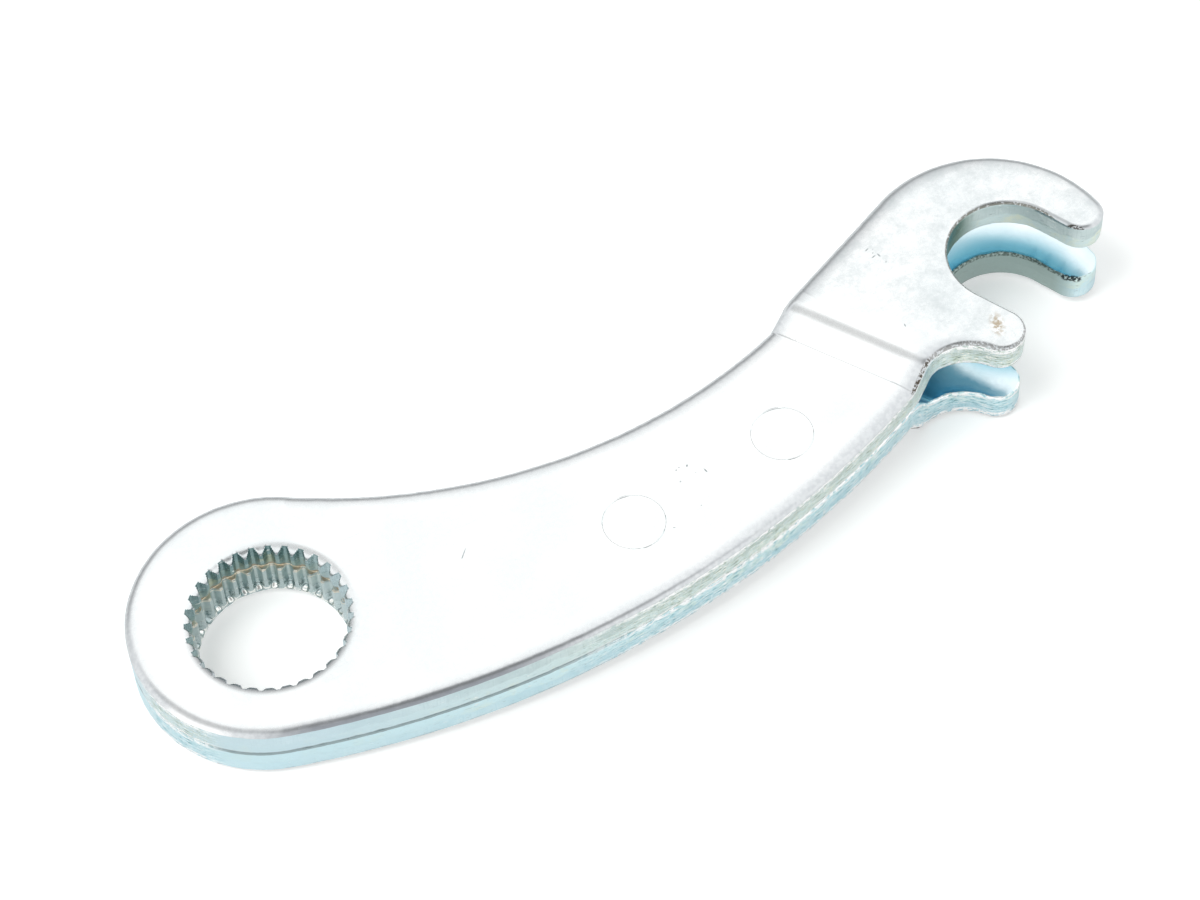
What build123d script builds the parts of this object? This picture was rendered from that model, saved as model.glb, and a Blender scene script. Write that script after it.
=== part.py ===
from build123d import *
import os
from math import asin, atan2, cos, degrees, pi, radians, sin, sqrt, tan

# Brake lever for a drum brake: two stamped plates, riveted face to face, with a serrated eye
# for the brake camshaft and a fork whose two hooks carry the trunnion of the brake cable.
# Millimetres. The origin is on the camshaft axis, midway through the stack, +Z runs along
# that axis and +X passes through the middle of the crook.

# Sheet
plate_thickness = 3.5
rim_roll = 0.8  # rounded corner that blanking leaves round each outer face, but for the crook

# Eye
eye_radius = 13.7
eye_offset = 0.5  # the eye's rim sits this far across the arm from the bore
tooth_count = 31
tooth_root_radius = 8.15
tooth_crest_radius = 7.5
tooth_crest_width = 0.35
tooth_root_width = 0.35
tooth_turn = 0.9  # degrees from +X to the nearest tooth crest

# Arm
upper_edge_radius = 57.8
lower_edge_radius = 100.8
back_slope = 23.3  # degrees, the straight run from the arm up to the hook's back

# Hook
crook_reach = 83.5
crook_radius = 6.25
hook_wall = 7.35  # hook's back arc less the crook's, in radius
hook_setback = 2.05  # the back arc's centre lies this far behind the crook's
upper_tip_bearing = 4.8  # degrees
upper_tip_lead = 0.5
lower_tip_radius = 2.5
lower_tip_bearing = 232.7
lower_tip_lead = 0.95
throat_radius = 5.1  # hollow under the short prong
throat_bearing = 215.5

# Joggle that spreads the two hooks, pressed with tight corners, so the ramp is a little thinner
joggle_offset = 2.55
joggle_slope = 50  # degrees
joggle_thickness = 3.2  # square to the ramp
joggle_crest_radius = 1.0
joggle_hollow_radius = 0.6  # on the outer face
joggle_root_radius = 1.5  # the hollow on the inner face
joggle_setback = 17.26  # from the crook's centre back to half way up the outer face's ramp
joggle_bearing = 32.1  # degrees, square to the bend lines

# Rivets
rivet_spots = {"rivet_near_eye": (35.6, -8.1), "rivet_near_fork": (53.3, -6.3)}
rivet_shank_radius = 2.4
rivet_head_radius = 3.1
rivet_head_depth = 1.3
rivet_fit = 0.02  # gap left all round each rivet

clear_of_all = 2 * (crook_reach + crook_radius + hook_wall)
shortest_run = 0.001  # a straight shorter than this is left out


def polar(length, bearing):
    return Vector(length * cos(bearing * pi / 180), length * sin(bearing * pi / 180))


def touching(first, first_reach, second, second_reach):
    # The centre that lies at the two given distances from two points, left of the line between.
    span = second - first
    along = (span.length**2 + first_reach**2 - second_reach**2) / (2 * span.length)
    across = sqrt(first_reach**2 - along**2)
    step = span.normalized()
    return first + step * along + Vector(-step.Y, step.X) * across


def straight_between(here, there):
    # The line that leaves one round and meets the next. A side of 1 turns left, -1 turns right.
    centre, radius, side = here
    next_centre, next_radius, next_side = there
    span = next_centre - centre
    lean = (next_side * next_radius - side * radius) / span.length
    heading = atan2(span.Y, span.X) - asin(max(-1, min(1, lean)))
    left = Vector(-sin(heading), cos(heading))
    return centre - left * (side * radius), next_centre - left * (next_side * next_radius)


def outline_of(rounds):
    # A closed outline of tangent arcs, with a straight run wherever two rounds don't touch.
    runs = [straight_between(here, there) for here, there in zip(rounds, rounds[1:] + rounds[:1])]
    runs = [(met, met) if (met - left).length < shortest_run else (left, met) for left, met in runs]
    edges = []
    for index, (centre, radius, side) in enumerate(rounds):
        start = runs[index - 1][1]
        end, onward = runs[index]
        begin = atan2(start.Y - centre.Y, start.X - centre.X)
        sweep = (side * (atan2(end.Y - centre.Y, end.X - centre.X) - begin)) % (2 * pi)
        edges.append(ThreePointArc(start, centre + polar(radius, degrees(begin + side * sweep / 2)), end))
        if onward != end:
            edges.append(Line(end, onward))
    return make_face(edges)


eye_centre = Vector(0, eye_offset)
crook_centre = Vector(crook_reach, 0)
hook_centre = crook_centre - Vector(hook_setback, 0)
hook_radius = crook_radius + hook_wall

upper_tip_radius = (hook_wall - hook_setback - upper_tip_lead) / 2
upper_tip = hook_centre + polar(hook_radius - upper_tip_radius, upper_tip_bearing)
lower_tip_reach = crook_radius + lower_tip_radius + lower_tip_lead
lower_tip = crook_centre + polar(lower_tip_reach, lower_tip_bearing)
throat = lower_tip + polar(lower_tip_radius + throat_radius, throat_bearing)

lower_edge_centre = touching(
    eye_centre, lower_edge_radius - eye_radius, throat, lower_edge_radius + throat_radius
)

# The upper edge touches the eye at one end and the straight back at the other.
back_along = polar(1, back_slope)
back_normal = polar(1, back_slope + 90)
back_height = (hook_centre - eye_centre).dot(back_normal) + hook_radius
upper_edge_along = sqrt(
    (upper_edge_radius + eye_radius) ** 2 - (upper_edge_radius + back_height) ** 2
)
upper_edge_centre = (
    eye_centre
    + back_normal * (upper_edge_radius + back_height)
    + back_along * upper_edge_along
)


crook = (crook_centre, crook_radius, -1)
plate_rounds = [
    (eye_centre, eye_radius, 1),
    (lower_edge_centre, lower_edge_radius, 1),
    (throat, throat_radius, -1),
    (lower_tip, lower_tip_radius, 1),
    crook,
    (upper_tip, upper_tip_radius, 1),
    (hook_centre, hook_radius, 1),
    (upper_edge_centre, upper_edge_radius, -1),
]


def joggled_sheet():
    # The sheet seen from the side, with a corner at the foot and the head of each face's ramp.
    square = polar(1, joggle_bearing)
    slope = radians(joggle_slope)
    half_run = joggle_offset / tan(slope) / 2
    outer_middle = crook_centre.dot(square) - joggle_setback
    lag = (joggle_thickness - plate_thickness * cos(slope)) / sin(slope)
    inner_middle = outer_middle + lag
    raised = joggle_offset + plate_thickness
    inner_foot = Vector(inner_middle - half_run, 0)
    inner_head = Vector(inner_middle + half_run, joggle_offset)
    outer_foot = Vector(outer_middle - half_run, plate_thickness)
    outer_head = Vector(outer_middle + half_run, raised)
    inner = [Vector(-clear_of_all, 0), inner_foot, inner_head, Vector(clear_of_all, joggle_offset)]
    outer = [Vector(clear_of_all, raised), outer_head, outer_foot]
    side = make_face(Polyline(*inner, *outer, (-clear_of_all, plate_thickness), close=True))
    rounded = [
        (inner_foot, joggle_crest_radius),
        (inner_head, joggle_root_radius),
        (outer_head, joggle_crest_radius),
        (outer_foot, joggle_hollow_radius),
    ]
    for corner, radius in rounded:
        side = fillet(side.vertices().sort_by_distance(corner)[:1], radius)
    standing = Plane(origin=(0, 0, 0), x_dir=square, z_dir=(square.Y, -square.X, 0))
    return extrude(standing * side, clear_of_all, both=True)


def serrated_bore():
    # The bore's outline walks from tooth to tooth: crest land, flank, root land, flank.
    pitch = 360 / tooth_count
    crest = degrees(tooth_crest_width / tooth_crest_radius)
    root = degrees(tooth_root_width / tooth_root_radius)
    edges = []
    for tooth in range(tooth_count):
        middle = tooth_turn + tooth * pitch
        crest_land = CenterArc((0, 0), tooth_crest_radius, middle - crest / 2, crest)
        root_start = polar(tooth_root_radius, middle + (pitch - root) / 2)
        root_end = polar(tooth_root_radius, middle + (pitch + root) / 2)
        if edges:
            edges.append(Line(edges[-1] @ 1, crest_land @ 0))
        edges += [crest_land, Line(crest_land @ 1, root_start), Line(root_start, root_end)]
    edges.append(Line(edges[-1] @ 1, edges[0] @ 0))
    return extrude(make_face(edges), clear_of_all, both=True)


def rivet_shape(spare):
    # A solid rivet set flush at both ends. Its seat in the plates is the same shape with spare.
    shank = rivet_shank_radius + spare
    neck = plate_thickness - rivet_head_depth
    tall = plate_thickness + spare
    flare = (rivet_head_radius - rivet_shank_radius) / rivet_head_depth
    head = shank + flare * (tall - neck)
    profile = Polyline((0, 0), (shank, 0), (shank, neck), (head, tall), (0, tall), close=True)
    half = revolve(Plane.XZ * make_face(profile), Axis.Z)
    return half + mirror(half, Plane.XY)


def upper_plate():
    # The fork is closed while its rim is rolled, so the roll fades out on both tips and the
    # crook, opened afterwards, keeps a crisp edge for the trunnion.
    closed_fork = outline_of([each for each in plate_rounds if each != crook])
    plate = joggled_sheet() & extrude(closed_fork, clear_of_all)
    # The rim is each corner that only one of the outward faces borders.
    outer = [face for face in plate.faces() if face.normal_at().Z > 0.1]
    corners = [edge for face in outer for edge in face.edges()]
    rim = [edge for edge in corners if sum(edge.is_same(other) for other in corners) == 1]
    plate = fillet(rim, rim_roll)
    plate &= extrude(outline_of(plate_rounds), clear_of_all)
    plate -= serrated_bore()
    for spot in rivet_spots.values():
        plate -= Pos(*spot) * rivet_shape(rivet_fit)
    return plate


plate = upper_plate()
nodes = {"upper_plate": plate, "lower_plate": mirror(plate, Plane.XY)}
for name, spot in rivet_spots.items():
    nodes[name] = Pos(*spot) * rivet_shape(0)

os.makedirs("parts", exist_ok=True)
for name, shape in nodes.items():
    export_step(shape, f"parts/{name}.step")
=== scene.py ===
from math import asin, atan2, ceil, cos, hypot, pi, radians, sin, sqrt, tan

import bmesh
import bpy
import numpy as np
from mathutils import Euler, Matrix, Vector, geometry, noise


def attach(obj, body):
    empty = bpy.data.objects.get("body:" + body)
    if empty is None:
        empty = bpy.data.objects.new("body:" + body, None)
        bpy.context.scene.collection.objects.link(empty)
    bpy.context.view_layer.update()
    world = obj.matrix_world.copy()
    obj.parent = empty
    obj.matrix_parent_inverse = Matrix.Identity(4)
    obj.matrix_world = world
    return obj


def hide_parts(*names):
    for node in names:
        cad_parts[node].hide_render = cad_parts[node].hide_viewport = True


# Brake lever: two stamped plates riveted face to face, on a white studio table.
# Lengths below are in millimetres, as on the drawing, and become metres where a mesh is made.
# The camera and the lamp are placed in metres.

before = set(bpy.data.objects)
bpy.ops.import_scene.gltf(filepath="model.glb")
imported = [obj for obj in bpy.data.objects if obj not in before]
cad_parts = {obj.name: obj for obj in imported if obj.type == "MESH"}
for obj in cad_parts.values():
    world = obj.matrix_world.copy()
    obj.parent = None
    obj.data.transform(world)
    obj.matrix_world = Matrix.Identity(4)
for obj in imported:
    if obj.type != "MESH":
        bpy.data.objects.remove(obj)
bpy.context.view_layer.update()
mm = 0.001
white = (1, 1, 1, 1)
scene = bpy.context.scene
scene.view_settings.view_transform = "Standard"
print("frame loaded, nodes:", sorted(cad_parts))


# Camera, table and light

cameraSetup = {
    "place": (-0.05249, -0.18172, 0.30054),
    "turn": (34.35, 1.85, -28.751),  # degrees
    "lens": 109.683,
    "sensor": 36,
}

tableSetup = {
    # The lever lies on the eye's rim and on the underside of the fork, so it leans a little.
    "eyeTouch": (-13.7, -3.5),  # along the lean, and height
    "forkTouch": (58.5, -6.05),
    "bearing": 32.1,
    "size": 3000,
    "veil": 0.27,  # white that the sheet adds to what the camera sees, so only close shadow shows
    "gloss": 0.5,  # share of the sheet's own white in what the metal mirrors
    "colour": "#f4f6f5",
}

studio = {
    "keyPlace": (-0.38, 0.08, 0.66),
    "keyAim": (0.04, 0, 0),
    "keySize": 0.5,
    "keyPower": 3.7,
    "dome": 0.71,
    "tent": 1.2,  # brightness of the tent's cloth in the metal
    "openingToward": (0.05, -0.55, 0.833),
    "openingEdge": (0.9, 0.99),  # cosines from where the cloth ends to where it is all dark
    "openingDark": 0.2,
    "seamToward": (-0.45, 0.1, 0.888),  # the fold left of the table, where the cloth is grey
    "seamEdge": (0.83, 0.99),
    "seamGrey": 0.58,
    "backdropToward": (0.25, 0.95, 0.0),
    "backdropEdge": (0.6, 0.78),
    "backdropGrey": 0.69,
    "backdropLow": 0.62,  # the cloth's foot behind the table, in shadow
    "sidesLow": 1.15,
    "footEdge": (0.2, 0.8),
    "lowTop": 0.82,  # height up to which the foot's shadow reaches
}


def makeCamera():
    camera = bpy.data.objects.new("studioCamera", bpy.data.cameras.new("studioCamera"))
    camera.data.lens = cameraSetup["lens"]
    camera.data.sensor_width = cameraSetup["sensor"]
    camera.data.clip_start = 0.02
    camera.data.clip_end = 20
    camera.location = cameraSetup["place"]
    camera.rotation_euler = Euler([radians(turn) for turn in cameraSetup["turn"]])
    scene.collection.objects.link(camera)
    scene.camera = camera


def toLinear(hexColour):
    # sRGB hex to the linear values that Blender's sockets take
    parts = [int(hexColour[at : at + 2], 16) / 255 for at in (1, 3, 5)]
    curve = [part / 12.92 if part <= 0.04045 else ((part + 0.055) / 1.055) ** 2.4 for part in parts]
    return curve + [1]


def addNode(tree, kind, inputs, **settings):
    # One node with its settings, and its inputs given as values or as the sockets that feed them,
    # by name or in their order. Gives the node's outputs.
    node = tree.nodes.new(kind if "Node" in kind else "ShaderNode" + kind)
    for name, value in settings.items():
        setattr(node, name, value)
    for name, value in inputs.items() if isinstance(inputs, dict) else enumerate(inputs):
        if isinstance(value, bpy.types.NodeSocket):
            tree.links.new(value, node.inputs[name])
        else:
            node.inputs[name].default_value = value
    return node.outputs


smooth = {"interpolation_type": "SMOOTHSTEP"}


def inMetres(*sizes):
    return [size * mm for size in sizes]


def blankTree(owner):
    owner.use_nodes = True
    owner.node_tree.nodes.clear()
    return owner.node_tree


def makeStudio():
    # World: a white tent round the table, with the dark opening that the camera looks through
    world = bpy.data.worlds.new("whiteTent")
    scene.world = world
    tree = blankTree(world)
    direction = addNode(tree, "TexCoord", {})["Generated"]

    def toward(axis, start, end, low, high):
        # low up to the first cosine from the axis, high from the second on
        cosine = addNode(tree, "VectorMath", [direction, axis], operation="DOT_PRODUCT")[1]
        return addNode(tree, "MapRange", [cosine, start, end, low, high], **smooth)[0]

    opening = toward(studio["openingToward"], *studio["openingEdge"], 1.0, studio["openingDark"])
    fold = toward(studio["seamToward"], *studio["seamEdge"], 1.0, studio["seamGrey"])
    behind = toward(studio["backdropToward"], *studio["backdropEdge"], 1.0, studio["backdropGrey"])
    lowTints = studio["sidesLow"], studio["backdropLow"]
    foot = toward(studio["backdropToward"], *studio["footEdge"], *lowTints)
    up = toward((0, 0, 1), 0.0, studio["lowTop"], 0.0, 1.0)
    cloth = addNode(tree, "Mix", {0: up, 2: foot, 3: studio["tent"]})[0]
    shade = opening
    for part in (fold, behind, cloth):
        shade = addNode(tree, "Math", [shade, part], operation="MULTIPLY")[0]
    tent, fill, backdrop = (
        addNode(tree, "Background", {"Color": white, "Strength": strength})[0]
        for strength in (shade, studio["dome"], 1.0)
    )
    rays = addNode(tree, "LightPath", {})
    glossy = addNode(tree, "MixShader", [rays["Is Glossy Ray"], fill, tent])[0]
    seen = addNode(tree, "MixShader", [rays["Is Camera Ray"], glossy, backdrop])[0]
    addNode(tree, "OutputWorld", {"Surface": seen})

    key = bpy.data.lights.new("softBox", "AREA")
    key.shape = "SQUARE"
    key.size = studio["keySize"]
    key.energy = studio["keyPower"]
    lamp = bpy.data.objects.new("softBox", key)
    lamp.location = studio["keyPlace"]
    aim = Vector(studio["keyAim"]) - lamp.location
    lamp.rotation_euler = aim.to_track_quat("-Z", "Y").to_euler()
    lamp.visible_glossy = False  # the metal shows the tent's cloth, not the lamp behind it
    scene.collection.objects.link(lamp)


def makeTable():
    # White acrylic sheet that glows a little, and keeps the close shadow
    near, nearLevel = tableSetup["eyeTouch"]
    far, farLevel = tableSetup["forkTouch"]
    slope = (farLevel - nearLevel) / (far - near)
    level = nearLevel - slope * near
    bearing = radians(tableSetup["bearing"])
    half = tableSetup["size"] / 2
    verts = []
    for x, y in ((-half, -half), (half, -half), (half, half), (-half, half)):
        along = x * cos(bearing) + y * sin(bearing)
        verts.append(inMetres(x, y, level + slope * along))
    mesh = bpy.data.meshes.new("table")
    mesh.from_pydata(verts, [], [(0, 1, 2, 3)])
    material = bpy.data.materials.new("whiteAcrylicTable")
    tree = blankTree(material)
    rays = addNode(tree, "LightPath", {})
    paint = addNode(tree, "BsdfDiffuse", {"Color": toLinear(tableSetup["colour"])})[0]
    glow = addNode(tree, "Emission", {"Color": white, "Strength": 1.0})[0]
    mirrored = addNode(tree, "MixShader", [tableSetup["gloss"], paint, glow])[0]
    lit = addNode(tree, "MixShader", [rays["Is Glossy Ray"], paint, mirrored])[0]
    veil = addNode(tree, "Math", [rays["Is Camera Ray"], tableSetup["veil"]], operation="MULTIPLY")[0]
    haze = addNode(tree, "Emission", {"Color": white, "Strength": veil})[0]
    both = addNode(tree, "AddShader", [lit, haze])[0]
    addNode(tree, "OutputMaterial", {"Surface": both})
    mesh.materials.append(material)
    table = bpy.data.objects.new("table", mesh)
    scene.collection.objects.link(table)


makeCamera()
makeStudio()
makeTable()
print("camera, table and light done")


# The two stamped plates

plate = {
    "thickness": 3.5,
    "eye": (0.0, 0.5, 13.7),  # centre and radius
    "upperEdge": 57.8,
    "lowerEdge": 100.8,
    "backSlope": 23.3,
    "crook": (83.5, 0.0, 6.25),
    "hookWall": 7.35,
    "hookSetback": 2.05,
    "upperTip": (4.8, 0.5),  # bearing and lead
    "lowerTip": (2.5, 232.7, 0.95),  # radius, bearing and lead
    "throat": (5.1, 215.5),  # radius and bearing
    "spacing": 0.25,  # steps along the outline, and over the joggle
    "fineSpacing": 0.08,
    "rollOuter": (0.9, 0.46),  # width and depth of the rim's rolled corner
    "rollCrook": (0.28, 0.22),
    "rollEnd": 45,  # degrees of the quarter round, where the sheared band cuts it off
    "tail": 1.5,  # width of the shallow dishing behind the roll
    "dish": 0.24,
    "guard": 0.25,
    "dishRings": (1.0, 0.7, 0.45, 0.2, 0.0),  # as shares of the dishing's width
    "rollRings": 8,
    "wallRings": (0.1, 0.22, 0.34, 0.44, 0.52, 0.6, 0.69, 0.79, 0.89, 1.0),  # of the wall's depth
    "inset": 0.02,  # the wall stays this far inside the CAD solid
    "seamBreak": 0.15,
    "seamPinch": ((-12, 0, 30, 46, 52), (0, 1, 1, 0, 1)),  # along x, 0 where the seam is tight
    "fractureFrom": 1.9,
    "fractureDraft": 0.06,
    "rowStep": 0.42,  # points on the flat, along the joggle's rows and in the net
    "netStep": (1.6, 1.5),
    "waviness": 0.005,
}

joggle = {
    "offset": 2.55,
    "slope": 50,
    "bearing": 32.1,
    "outerMiddle": 53.474,  # half way up the ramp, measured along the bearing
    "innerMiddle": 54.714,
    "crest": 1.8,  # corner radii
    "rootCrest": 1.0,
    "hollow": 0.12,
    "rootHollow": 1.5,
    "closeSteps": (51.2, 57.6),  # where the outline's steps are fine, along the bearing
}
joggleWay = (cos(radians(joggle["bearing"])), sin(radians(joggle["bearing"])), 0)

bore = {
    "teeth": 31,
    "crestRadius": 7.5,
    "rootRadius": 8.15,
    "crestLand": 0.115,  # half widths, as a share of the tooth pitch
    "rootLand": 0.106,
    "turn": 0.9,
    "chamfer": (1.35, 1.1),  # width and depth of the rounded lead-in, on the upper plate
    "crestFlare": 0.66,  # how far the upper plate's torn crests and roots open out at the seam
    "rootFlare": 0.05,
    "flareFrom": 0.55,  # as a share of the sheet
    "crestBreak": 0.14,  # rounded top of the lower plate's crests
    "breakReach": 0.3,
    "burr": (0.75, 0.08),  # height and overhang of the ragged burr under the lower plate
    "columns": 16,
    "rows": 24,
    "leadRows": 9,
    "dish": (1.4, 0.07),  # width and depth of the sunk face round the bore
    "dishReach": 1.2,  # depth down to which the sunk face draws the wall along
    "tearFrom": 1.6,
    "uneven": (0.01, 0.025),  # of the whole wall, and of its torn part
    "meanRadius": 8,
}

rivets = {
    "rivet_near_eye": (35.6, -8.1),
    "rivet_near_fork": (53.3, -6.3),
}
rivet = {
    "shank": 2.4,
    "head": 3.1,
    "headDepth": 1.3,
    "fit": 0.02,
    "edgeBreak": 0.1,
    "crown": (0.012, 0.008),  # how far the face sinks in the middle, and at the shank's radius
    "steps": 96,
}


# Finishes: zinc plate with a clear blue passivate


# Finishes: zinc plate with a clear blue passivate. Sizes in the looks are in millimetres. A pair
# of levels says where a pattern begins to show and where it shows in full, and a pair of reaches
# where a tint begins and ends.

marks = [
    # place on the upper face, length, width and turn of each small nick in the plating
    (71.2, 7.4, 0.25, 0.06, 20),
    (71.6, 6.9, 0.3, 0.05, 60),
    (71.3, 6.3, 0.32, 0.06, 15),
    (71.9, 6.2, 0.25, 0.07, 100),
    (71.7, 5.5, 0.35, 0.06, 35),
    (72.1, 5.2, 0.2, 0.08, 80),
    (70.6, 7.0, 0.3, 0.05, 70),
    (69.6, -2.6, 0.2, 0.06, 80),
    (44.6, -6.3, 0.35, 0.08, 100),
    (42.1, -9.7, 0.25, 0.08, 10),
    (42.3, -4.8, 0.3, 0.1, 20),
    (43.3, -4.9, 0.2, 0.1, 60),
    (41.9, -6.2, 0.2, 0.09, 30),
    (43.6, -6.0, 0.14, 0.08, 140),
    (19.4, -3.2, 0.9, 0.05, 45),
    (38.8, -10.6, 0.25, 0.1, 0),
]
stain = (77.6, -7.1, 1.2, 0.6, 70)  # brownish, on the short prong
tipDarkReflection = (91.1, -0.8, 1.1, 0.24, -48)  # painted dark reflection on the upper hook's tip
# painted dark reflection on the lower hook's tip
tipDarkReflectionBelow = (91.2, -0.72, 1.35, 0.22, -41)
nearRollShade = (10.5, -13.6, 17.0, 5.0, 2)  # painted shade at the foot of the near roll
paintedRollHighlightRim = (-11.1, -7.1, 3.2, 1.3, -56)  # painted highlight along the roll's edge, at the eye's lower left
ruggedEye = (-12.6, -4.8, 4.2, 2.6, -65)  # a rough stretch of the eye's edge
darkCorner = (79.4, 5.2, 4.2, 2.6, 50)  # painted shade in the crook's inner corner

skinLook = {
    "colour": "#fafcfc",
    "shade": "#eef3f4",
    "cloud": 9.0,  # size of the tint's clouds
    "grain": 0.4,
    "gloss": (0.2, 0.3),  # roughness
    "peel": 0.0012,  # height of the grain
    "scratches": [(25, 0.12), (-50, 0.16)],  # turn in degrees, and width
    "scratchRun": (9, 4),  # length, and height through the sheet
    "scratchLevels": (0.68, 0.8),
    "scratchDepth": 0.0006,
    # painted shade: mottled grey patches on the hook's outer face
    "hookShade": "#c6cfd1",
    "hookShadeCloud": 2.2,
    "hookShadeLevels": (0.42, 0.8),
    "hookShadeFrom": (54, 60),  # along the joggle's bearing
    # painted shade on the rolled rim, mottled
    "rim": "#cdd1d4",
    "rimGrain": 0.5,
    "rimPeel": 0.006,
    "rimLevels": (0.4, 0.6),
    "rimReach": (0.05, 0.6),  # as a share of the roll's depth
    "fine": 0.22,
    "darkRollDots": "#5d564d",  # dark dots on the near roll, on the ramp and fainter beyond it
    "darkRollDotsLevels": (0.44, 0.52),
    "darkRollDotsRamp": (0.2, 1.5),  # from the ramp's middle, and half the width
    "darkRollDotsBeyond": (54.8, 55.2),
    "darkRollDotsTurn": (0.2, 0.4),  # as a share of the roll's turn
    "darkRollDotsSide": -3,
    "nick": "#a9b1b3",
    "nickLevels": (0.42, 0.55),
    "nickDepth": 0.004,
    # painted dark reflections: a dotted line along the crook's edge, and a patch on the hook's tip
    "lip": "#84857f",
    "lipReach": (6.42, 6.5),  # from the crook's centre
    "darkReflectionLevels": (0.38, 0.48),
    "worn": "#4c4b47",
    # painted shade at the foot of the near roll
    "rollShade": "#82878f",
    "rollShadeTurn": (0.3, 0.8),
    # painted shade on the near side of the bore's rounded lead-in
    "boreLip": "#b3b8c1",
    "boreLipToward": (-0.44, -0.9, 0),
    "boreLipReach": (2, 7),
    "boreLipSlope": (0.12, 0.3),
    "boreLipRadius": 9.2,
    # painted highlight on the roll at the eye's lower left
    "paintedRollHighlight": "#ffffff",
    "stain": "#c9bba6",
    "markHeight": 3.2,
}

shearedLook = {
    "colour": "#e0eded",
    "shade": "#bccece",
    "cloud": 5.0,
    "grain": 0.25,
    "gloss": (0.28, 0.4),
    "peel": 0.002,
    "streak": (0.16, 2.4),  # width along the rim and length down the stroke
    "streakLevels": (0.5, 0.75),
    "streakPeel": 0.006,
    "torn": "#d6e8e8",
    "tearFrom": 1.9,
    "tearWaver": (1.8, 1.4),  # length and height of the waves in the tear's edge
    "tearGrain": (1.1, 0.3),
    "tearPeel": 0.045,
    "sulphur": "#e4ecdc",
    "sulphurCloud": 3.2,
    "sulphurLevels": (0.5, 0.66),
    "pit": "#a3b7b8",
    "pitLevels": (0.4, 0.3),
    # painted glints on the torn band's crystals
    "spark": "#f4f8f4",
    "sparkLevels": (0.62, 0.7),
    "seam": "#99aaae",
    "seamReach": 0.3,
    "eye": "#c8dfe8",
    "eyeReach": (24, 0),  # along the arm
    "ruggedFrom": (20, 36),
    "ruggedSide": (-3, -5),
    # levels between which a speckle shows, its colour and its gloss; the last, near white, is a painted
    # glint
    "speckleAndGlint": [(0.5, 0.42, "#c3cfbb", 0.3), (0.43, 0.37, "#6f8685", 0.4), (0.55, 0.59, "#fbfbf0", 0.16)],
    "speckleAndGlintGrain": (1.1, 0.24),
    "speckleAndGlintPeel": 0.05,
    # painted glints at the roll's foot and at the seam
    "edgeShine": "#ffffff",
    "edgeShineGrain": (0.75, 0.4),
    "edgeShineLevels": (0.45, 0.51),
    "edgeShineRoll": (0.9, 1.15),  # depths from the outer face
    "edgeShineSeam": (2.9, 3.1),
    # painted shade in the crook's inner corner
    "corner": "#7e978a",
    # painted dark reflection on the lower hook's tip
    "worn": "#3f4a4a",
    "darkReflectionLevels": (0.4, 0.48),
    # painted highlight along the top edge of the wall
    "lip": "#e6eeee",
    "lipReach": (0.16, 0.22),
}
shearedBelowLook = dict(
    shearedLook,
    eye="#cde7ee",
    # painted shade on the lower plate's wall in the crook, and a dark dotted line at its top edge
    crookWall="#a3b6b2",
    crookWallReach=(6.6, 8.2),  # from the crook's centre
    crookEdge="#66746f",
    crookEdgeReach=(3.05, 3.15),
    crookEdgeLevels=(0.42, 0.54),
    colour="#daf0f5",
    shade="#c0e0e9",
    torn="#d3edf2",
    sulphur="#dcede6",
    # speckles of tint, the last, near white, a painted glint
    speckleAndGlint=[(0.5, 0.42, "#9fd0da", 0.3), (0.42, 0.36, "#6b9197", 0.4), (0.56, 0.6, "#f6fdfd", 0.16)],
)
punchedLook = dict(
    shearedLook,
    colour="#9db5b5",
    shade="#6f8c8e",
    torn="#8ea8a5",
    sulphur="#b5bda6",
    gloss=(0.2, 0.38),
    tearFrom=1.6,
    tearPeel=0.05,
    streakPeel=0.012,
    pit="#5f7478",
    # painted glints, dotted along the seam on the lower plate
    seam="#f4ecdc",
    below="#cfdcdc",
    # painted light: direction of a lighter side of the bore, its reach and its tint
    sides=[((0.877, -0.481, 0), (2.0, 7.0), "#c6d8dd"), ((-0.44, -0.9, 0), (3.0, 6.5), "#c9ced6")],
    dotLevels=(0.46, 0.52),
    # painted glints, dotted along the lower plate's burr
    burr="#fbfdf9",
    burrHeight=0.5,
    brown="#a3937c",
    brownBand=(0.28, 0.24),  # height of its middle, and half its width
    # painted highlight line just above the seam
    line="#f4ead6",
    lineBand=(0.06, 0.055),
)

shieldedLook = {
    "colour": "#eef8fb",
    "shade": "#e0f1f6",
    "cloud": 4.0,
    "grain": 0.3,
    "gloss": (0.16, 0.24),
    "peel": 0.001,
    # painted shade: deep blue in the fork's root
    "root": "#79b6cf",
    "rootReach": (57.0, 62.5),  # along the joggle's bearing
    # painted highlight on the inner face's ledge round the bore
    "crestTop": "#fffaf0",
    "crestRadius": 9,
    # painted shade: blue near the crook's edge
    "edge": "#7dbbce",
    "edgeReach": (7.1, 10.4),  # from the crook's centre
    # painted dark reflections: a line along the crook's edge, and a patch on the hook's tip
    "lip": "#6aa3b0",
    "lipReach": (6.66, 6.8),
    "worn": "#3c4f52",
    "darkReflectionLevels": (0.4, 0.48),
}

rivetLook = dict(skinLook, shade="#f1f5f5", cloud=2.5, rimPeel=0.004)


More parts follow.
